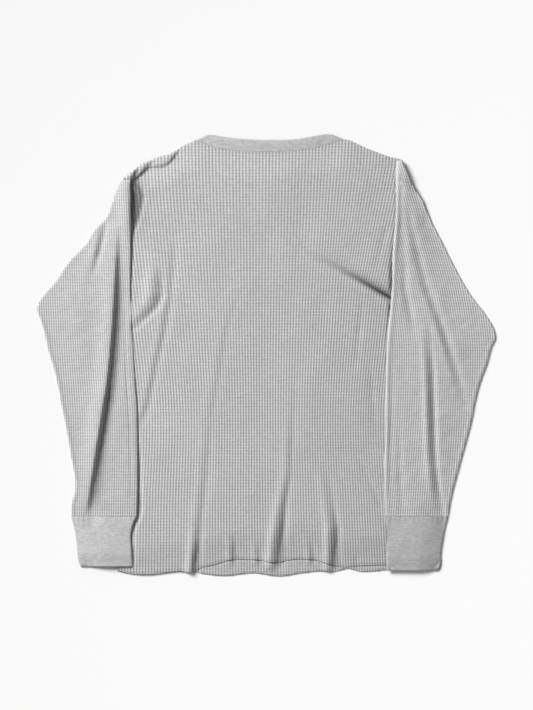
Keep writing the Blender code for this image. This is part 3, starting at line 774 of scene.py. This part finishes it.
def slanted(rows, y):
    """How much longer a line is than its rise, where it leans."""
    lean = (curve(rows, y + 0.001, "y", "reach") - curve(rows, y - 0.001, "y", "reach")) / 0.002
    return np.sqrt(1 + lean**2)


def sleeve_piece(sleeve):
    """The upper layer of a folded sleeve, down to its cuff's seam."""
    inner, outer = sleeve.inner, sleeve.outer
    tall = max(row.y for row in inner)
    courses = np.arange(int(CUFF_Y / COURSE * ROWS_PER_CELL) - 1, int(tall / COURSE * ROWS_PER_CELL) + 2)
    columns = np.arange(FIRST_WALE * COLUMNS_PER_CELL, LAST_WALE * COLUMNS_PER_CELL)
    course, wale = np.meshgrid(courses / ROWS_PER_CELL, columns / COLUMNS_PER_CELL, indexing="ij")
    y = np.clip(course * COURSE, CUFF_Y, tall)
    first = curve(sleeve.grain, y, "y", "reach")
    low_reach, high_reach = curve(inner, y, "y", "reach"), curve(outer, y, "y", "reach")
    reach = np.clip(first + wale * SLEEVE_WALE, low_reach, high_reach)
    wale = (reach - first) / SLEEVE_WALE
    course = y / COURSE
    to_inner = (reach - low_reach) / slanted(inner, y)
    to_outer = (high_reach - reach) / slanted(outer, y)
    x = sleeve.side * reach
    below_elbow = smooth((sleeve.elbow - y) / 0.02)
    seam = np.exp(-(((to_outer - SEAM_IN) / SEAM_WIDTH) ** 2)) * below_elbow
    edge = np.minimum(to_inner, to_outer)
    strength = (0.85 + 0.25 * drift(reach, y, 0.015, sleeve.seed + 2)) * (1 - seam)
    plain = sleeve.plain * (0.4 + 0.6 * smooth((y - 0.20) / 0.09))
    waffled = smooth((to_inner - plain) / 0.003)
    strength *= 0.25 + 0.75 * waffled
    top = sleeve_height(sleeve, reach, y) + SEAM_RISE * seam
    top += SLEEVE_RELIEF * RELIEF * (waffle(wale, course) - 0.5) * strength * smooth(edge / EDGE_FADE)
    top -= rolled(to_inner, sleeve.fold) + rolled(to_outer, SIDE_ROUND) + rolled(tall - y, SHOULDER_ROUND)
    low = sleeve_floor(x, y)
    # sleeve.tone is painted light for the whole sleeve; the seam is darker, the knit paler towards the hem,
    # and the pressed strip a hair darker
    tone = sleeve.tone * (1 - SEAM_TONE * seam) * paler_to_hem(y) * (0.99 + 0.01 * waffled)
    # painted shade: troughs painted darker the deeper they are, and darker still where the shade tables say
    # little light gets in
    tone *= 1 + SHADE * np.minimum(creased(sleeve.creases, x, y), 0)
    tone *= 1 - np.clip(creased(sleeve.shades, x, y), 0, DARKEST_SLEEVE)
    # painted highlight: the outer edge, and less so the sleeve's outer part, painted lighter where the lamp
    # leaves them dark
    tone *= 1 + sleeve.glow * (np.exp(-to_outer / 0.0022) + 0.20 * smooth((reach - 0.208) / 0.035))
    wale += (np.round(wale) - wale) * (1 - waffled)  # no pits where it is pressed flat
    return cloth("sleeve_knit_" + sleeve.name, x, y, np.maximum(top, low + 0.0010), low, wale, course, tone)


def ring_piece(name, rings, cells, tone, closed=False):
    """A skin through rings of as many points, joined round or capped at both ends."""
    count = len(rings[0])
    faces = []
    for i in range(len(rings) if closed else len(rings) - 1):
        j = (i + 1) % len(rings)
        for k in range(count):
            n = (k + 1) % count
            faces.append((i * count + k, i * count + n, j * count + n, j * count + k))
    if not closed:
        faces.append(tuple(range(count)))
        faces.append(tuple(range((len(rings) - 1) * count, len(rings) * count))[::-1])
    mesh = bpy.data.meshes.new(name)
    mesh.from_pydata([p for ring in rings for p in ring], [], faces)
    cells = np.array([cell for ring in cells for cell in ring])
    return finished(name, mesh, cells, np.full(len(mesh.vertices), tone))


def cuff_piece(sleeve):
    """A cuff as a flattened tube with its lower end open."""
    end = CUFF_END[sleeve.name]
    start = CUFF_Y - SEAT
    ys = list(np.linspace(start, end + 0.0012, CUFF_STEPS))
    ys += [end + 0.0003, end, end + 0.0003]  # round the lip
    ys += [end + 0.006, end + 0.016]  # and back up inside
    insets = [0.0] * CUFF_STEPS + [0.0003, 0.0008, 0.0013, 0.0016, 0.0016]
    rings, cells = [], []
    shares = np.linspace(0, 1, CUFF_ACROSS)
    for y, inset in zip(ys, insets):
        near = float(curve(sleeve.cuff_inner, y, "y", "reach")) + inset
        far = float(curve(sleeve.cuff_outer, y, "y", "reach")) - inset
        reach = near + (far - near) * (0.5 - 0.5 * np.cos(np.pi * shares))
        to_near, to_far = reach - near, far - reach
        at = np.full_like(reach, y)
        gather = GATHER * np.cos(reach * 2 * np.pi / GATHER_WIDTH)
        gather *= smooth((y - start + GATHER_RUN) / GATHER_RUN)
        down = np.clip((reach - BODY_HALF) / (far - BODY_HALF), 0, 1) ** 1.6
        x = sleeve.side * reach
        top = SLEEVE_TOP * (1 - down) + sleeve.outer_top * down
        top += CUFF_SWELL * np.sin(np.pi * shares) + gather - inset
        folds = creased(sleeve.creases, x, np.full_like(reach, CUFF_Y + 0.001))
        top += folds * smooth((y - start + 0.03) / 0.03)
        top += 0.0005 * drift(x, at, 0.02, sleeve.seed + 5)
        top -= 0.0002 * np.exp(-(((y - start) / 0.0010) ** 2))
        top -= CUFF_PRESS * smooth((end + CUFF_PRESS_RUN - y) / CUFF_PRESS_RUN)
        on_back = np.maximum(SLEEVE_LOW, back_height(x, at) + RELIEF / 2 + SEAT)
        low = np.where(reach > BODY_HALF + 0.003, SEAT, on_back) + inset
        top = np.maximum(top, low + CUFF_LEAST)
        middle, half = (top + low) / 2, (top - low) / 2
        round_near = np.sqrt(1 - np.clip(1 - to_near / CUFF_NEAR_ROUND, 0, 1) ** 2)
        round_far = np.sqrt(1 - np.clip(1 - to_far / CUFF_FAR_ROUND, 0, 1) ** 2)
        upper = middle + half * round_near * round_far
        lower = middle - half * round_near * round_far
        ring = [(float(a), y, float(b)) for a, b in zip(x, upper)]
        ring += [(float(a), y, float(b)) for a, b in zip(x[-2:0:-1], lower[-2:0:-1])]
        rings.append(ring)
        around = [float(a) for a in reach] + [float(a) for a in reach[-2:0:-1]]
        cells.append([(a / CUFF_THREAD, y / CUFF_THREAD) for a in around])
    return ring_piece("cuff_rib_" + sleeve.name, rings, cells, CUFF_TONE)


def band_piece():
    """The neck band: a doubled strip that goes across the back, and under it round the front."""
    section = [(i / BAND_ACROSS, 1) for i in range(BAND_ACROSS + 1)]
    section += [(i / BAND_ACROSS, -1) for i in range(BAND_ACROSS, -1, -1)]
    rings, cells = [], []
    half_wall = WALL / 2
    for i in range(2 * BAND_STEPS):
        back = i <= BAND_STEPS
        share = i / BAND_STEPS if back else 2 - i / BAND_STEPS
        top_x = BAND_TOP[0].x + share * (BAND_TOP[-1].x - BAND_TOP[0].x)
        seam_x = BAND_SEAM[0].x + share * (BAND_SEAM[-1].x - BAND_SEAM[0].x)
        if back:
            top_y, seam_y = float(curve(BAND_TOP, top_x)), float(curve(BAND_SEAM, seam_x))
        else:
            dip = math.sin(math.acos(max(-1.0, min(1.0, 2 * share - 1))))
            top_y = BAND_TOP[0].y - BAND_DROP * dip
            seam_y = BAND_SEAM[0].y - BAND_SEAM_DROP * dip
        turn = float(smooth(np.array(min(share, 1 - share) / BAND_TURN)))
        z = (BACK_LOW + FRONT_TOP) / 2 + turn * (1 if back else -1) * BACK_LOW / 2
        lift = turn * BAND_LIFT * back
        ring, cell = [], []
        for place, face in section:
            edge = (1 - place) * BAND_WIDTH
            round_off = math.sqrt(1 - max(0.0, 1 - edge / BAND_EDGE_ROUND) ** 2)
            x = seam_x + place * (top_x - seam_x)
            y = seam_y + place * (top_y - seam_y)
            swell = lift * float(smooth(np.array(place / 0.6)))
            ring.append((x, y, z + swell + face * half_wall * max(round_off, 0.2)))
            cell.append((i * 0.0012 / CUFF_THREAD, place * BAND_WIDTH / CUFF_THREAD))
        rings.append(ring)
        cells.append(cell)
    return ring_piece("neck_rib", rings, cells, BAND_TONE, closed=True)


# ---- materials


class Nodes:
    """A short way to lay out a material's nodes."""

    def __init__(self, name):
        self.material = bpy.data.materials.new(name)
        self.material.use_nodes = True
        self.tree = self.material.node_tree
        self.shader = self.tree.nodes["Principled BSDF"]

    def add(self, kind, **settings):
        node = self.tree.nodes.new(kind)
        for key, value in settings.items():
            if key in node.inputs:
                node.inputs[key].default_value = value
            else:
                setattr(node, key, value)
        return node

    def link(self, out, into):
        self.tree.links.new(out, into)

    def math(self, operation, first, second=0.0, third=None):
        node = self.add("ShaderNodeMath", operation=operation)
        for i, value in enumerate((first, second, third)):
            if value is None:
                continue
            if isinstance(value, (int, float)):
                node.inputs[i].default_value = value
            else:
                self.link(value, node.inputs[i])
        return node.outputs[0]

    def noise(self, coordinates, scale, stretch=(1, 1, 1), detail=3.0, rough=0.6):
        mapping = self.add("ShaderNodeMapping")
        mapping.inputs["Scale"].default_value = stretch
        self.link(coordinates, mapping.inputs["Vector"])
        noise = self.add("ShaderNodeTexNoise", Scale=scale, Detail=detail, Roughness=rough)
        self.link(mapping.outputs[0], noise.inputs["Vector"])
        return noise.outputs["Fac"]

    def even_grey(self, level):
        """A grey colour from one number."""
        node = self.add("ShaderNodeCombineColor")
        for channel in node.inputs:
            self.link(level, channel)
        return node.outputs[0]

    def mix(self, factor, first, second, blend="MIX"):
        node = self.add("ShaderNodeMix", data_type="RGBA", blend_type=blend)
        for i, value in ((0, factor), (6, first), (7, second)):
            if isinstance(value, (int, float, tuple)):
                node.inputs[i].default_value = value
            else:
                self.link(value, node.inputs[i])
        return node.outputs[2]

    def ramp(self, value, low, high):
        node = self.add("ShaderNodeMapRange")
        node.inputs["From Min"].default_value = low
        node.inputs["From Max"].default_value = high
        self.link(value, node.inputs["Value"])
        return node.outputs[0]


def knit_material(name, dark, light, pit_shade, streaks):
    """Heather-grey knit. pit_shade is how dark a waffle's pits are painted, painted shade that stands in
    for the shade in them, 0 on plain jersey.
    """
    n = Nodes(name)
    spots = n.add("ShaderNodeTexCoord")
    place, uv = spots.outputs["Object"], spots.outputs["UV"]
    split = n.add("ShaderNodeSeparateXYZ")
    n.link(uv, split.inputs[0])
    round_v = n.math("MULTIPLY", split.outputs[1], 2 * math.pi)
    lean = n.math("MULTIPLY", n.math("SINE", round_v), PIT_SLANT)
    wobble = n.noise(place, 90.0, (1.0, 1.0, 1.0), 2.0, 0.5)
    wobble = n.math("MULTIPLY_ADD", wobble, PIT_WOBBLE, -PIT_WOBBLE / 2)
    round_u = n.math("MULTIPLY", n.math("ADD", n.math("ADD", split.outputs[0], lean), wobble), 2 * math.pi)
    upright = n.math("MULTIPLY_ADD", n.math("COSINE", round_u), 0.5, 0.5)
    across = n.math("MULTIPLY_ADD", n.math("COSINE", round_v), 0.5, 0.5)
    between = n.math("SUBTRACT", 1.0, upright)
    pit = n.math("MULTIPLY", between, n.math("MULTIPLY_ADD", across, -0.52, 1.0))
    heather = n.noise(place, HEATHER_SPECKS, (0.30, 1.0, 1.0), 4.0, 0.75)
    streak = n.noise(place, STREAK_SPECKS, (0.34, 1.0, 1.0), 4.0, 0.7)
    cloud = n.noise(place, CLOUD_SPECKS, (1.0, 1.0, 1.0), 2.0, 0.5)
    specks = n.math("MULTIPLY", n.ramp(heather, 0.30, 0.70), HEATHER_SHARE)
    melange = n.math("ADD", specks, n.math("MULTIPLY", n.ramp(streak, 0.30, 0.70), streaks))
    melange = n.math("ADD", melange, n.math("MULTIPLY", cloud, CLOUD_SHARE))
    colour = n.mix(melange, dark, light)
    patchy = n.math("MULTIPLY_ADD", n.noise(place, PATCH_SPECKS, (0.5, 1.0, 1.0), 2.0, 0.6), 0.5, 0.75)
    # painted shade: the pits are painted darker, as the shade in them would make them look
    painted_pit_shade = n.math("MULTIPLY", n.math("MULTIPLY", pit, patchy), pit_shade)
    # the tone attribute holds painted shade in creases and hollows and painted highlight on the sleeves'
    # outer edges, along with the knit's own tone
    tone = n.add("ShaderNodeAttribute", attribute_name="tone")
    level = n.math("MULTIPLY", n.math("SUBTRACT", 1.0, painted_pit_shade), tone.outputs["Fac"])
    colour = n.mix(1.0, colour, n.even_grey(level), "MULTIPLY")
    n.link(colour, n.shader.inputs["Base Color"])
    fibre = n.noise(place, FIBRE_SPECKS, (0.6, 1.0, 1.0), 2.0, 0.7)
    ribs = n.math("MULTIPLY", n.math("SUBTRACT", 1.0, pit), 0.6 if pit_shade else 0.0)
    height = n.math("ADD", ribs, n.math("MULTIPLY", fibre, 0.4))
    bump = n.add("ShaderNodeBump", Strength=0.5, Distance=0.0005)
    n.link(height, bump.inputs["Height"])
    n.link(bump.outputs[0], n.shader.inputs["Normal"])
    rough = n.math("MULTIPLY_ADD", fibre, 0.12, 0.86)
    n.link(rough, n.shader.inputs["Roughness"])
    n.shader.inputs["Specular IOR Level"].default_value = SHINE
    n.shader.inputs["Sheen Weight"].default_value = SHEEN
    n.shader.inputs["Sheen Roughness"].default_value = SHEEN_ROUGHNESS
    return n.material


def grey(value):
    return (value, value, value, 1.0)


# ---- floor, light and camera


def aim(thing, spot):
    """Turns a lamp towards a place."""
    direction = np.array(spot) - np.array(thing.location)
    flat = math.hypot(direction[0], direction[1])
    thing.rotation_euler = (math.atan2(flat, -direction[2]), 0, math.atan2(-direction[0], direction[1]))


def floor():
    """A pale table, a little deeper in colour beside the lamp, so that it looks even."""
    bpy.ops.object.select_all(action="DESELECT")
    bpy.ops.mesh.primitive_plane_add(size=14, location=(0, 0, -0.0002))
    plane = bpy.context.object
    plane.name = "table"
    bpy.ops.object.transform_apply(location=True)
    n = Nodes("table_paper")
    place = n.add("ShaderNodeTexCoord").outputs["Object"]
    away = n.add("ShaderNodeVectorMath", operation="DISTANCE")
    n.link(place, away.inputs[0])
    away.inputs[1].default_value = LAMP
    nearer = n.math("DIVIDE", math.dist(LAMP, (0, 0, 0)), away.outputs["Value"])
    nearness = n.math("POWER", nearer, LAMP_FALL)
    lit = n.math("MULTIPLY_ADD", nearness, LAMP_SHARE, 1 - LAMP_SHARE)
    level = n.math("MINIMUM", n.math("DIVIDE", TABLE_COLOUR, lit), TABLE_PALEST)
    n.link(n.even_grey(level), n.shader.inputs["Base Color"])
    n.shader.inputs["Roughness"].default_value = 0.9
    n.shader.inputs["Specular IOR Level"].default_value = 0.0
    plane.data.materials.append(n.material)


def light(name, spot, size, power):
    lamp = bpy.data.lights.new(name, "AREA")
    lamp.shape = "DISK"
    lamp.size = size
    lamp.energy = power
    thing = bpy.data.objects.new(name, lamp)
    thing.location = spot
    bpy.context.scene.collection.objects.link(thing)
    aim(thing, (0, 0, 0))


def studio():
    """One large lamp at the upper left, and soft light from all round."""
    light("window", LAMP, LAMP_SIZE, LAMP_POWER)
    world = bpy.data.worlds.new("room")
    world.use_nodes = True
    background = world.node_tree.nodes["Background"]
    background.inputs["Color"].default_value = (1, 1, 1, 1)
    background.inputs["Strength"].default_value = ROOM_LIGHT
    bpy.context.scene.world = world


def camera():
    """Straight above the middle of the top."""
    data = bpy.data.cameras.new("view")
    data.lens = LENS
    data.sensor_width = SENSOR
    data.clip_end = 100
    thing = bpy.data.objects.new("view", data)
    thing.location = (0, 0, VIEW_TALL * LENS / SENSOR)
    bpy.context.scene.collection.objects.link(thing)
    bpy.context.scene.camera = thing


# ---- making it


def dress(piece, material, slot, *nodes):
    """Gives a piece its material and body, and hides the solids it stands for. slot is not used."""
    piece.data.materials.append(material)
    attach(piece, "root")
    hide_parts(*nodes)


floor()
studio()
camera()
bpy.context.scene.view_settings.view_transform = "Standard"

waffle_body = knit_material("heather_waffle", grey(0.342), grey(0.626), 0.62, 0.24)
waffle_inside = knit_material("heather_waffle_inside", grey(0.336), grey(0.615), 0.56, 0.24)
rib_cuff = knit_material("heather_rib", grey(0.22), grey(0.50), 0.0, 0.44)

back = back_piece()
dress(back, waffle_body, "body_knit", "back_panel")
front = front_piece()
dress(front, waffle_inside, "front_knit", "front_panel")
sleeves, cuffs = {}, {}
for sleeve in SLEEVES:
    sleeves[sleeve.name] = sleeve_piece(sleeve)
    dress(sleeves[sleeve.name], waffle_body, "sleeve_knit", "sleeve_" + sleeve.name)
for sleeve in SLEEVES:
    cuffs[sleeve.name] = cuff_piece(sleeve)
    dress(cuffs[sleeve.name], rib_cuff, "cuff_rib", "cuff_" + sleeve.name)
band = band_piece()
dress(band, rib_cuff, "neck_rib", "neck_band")
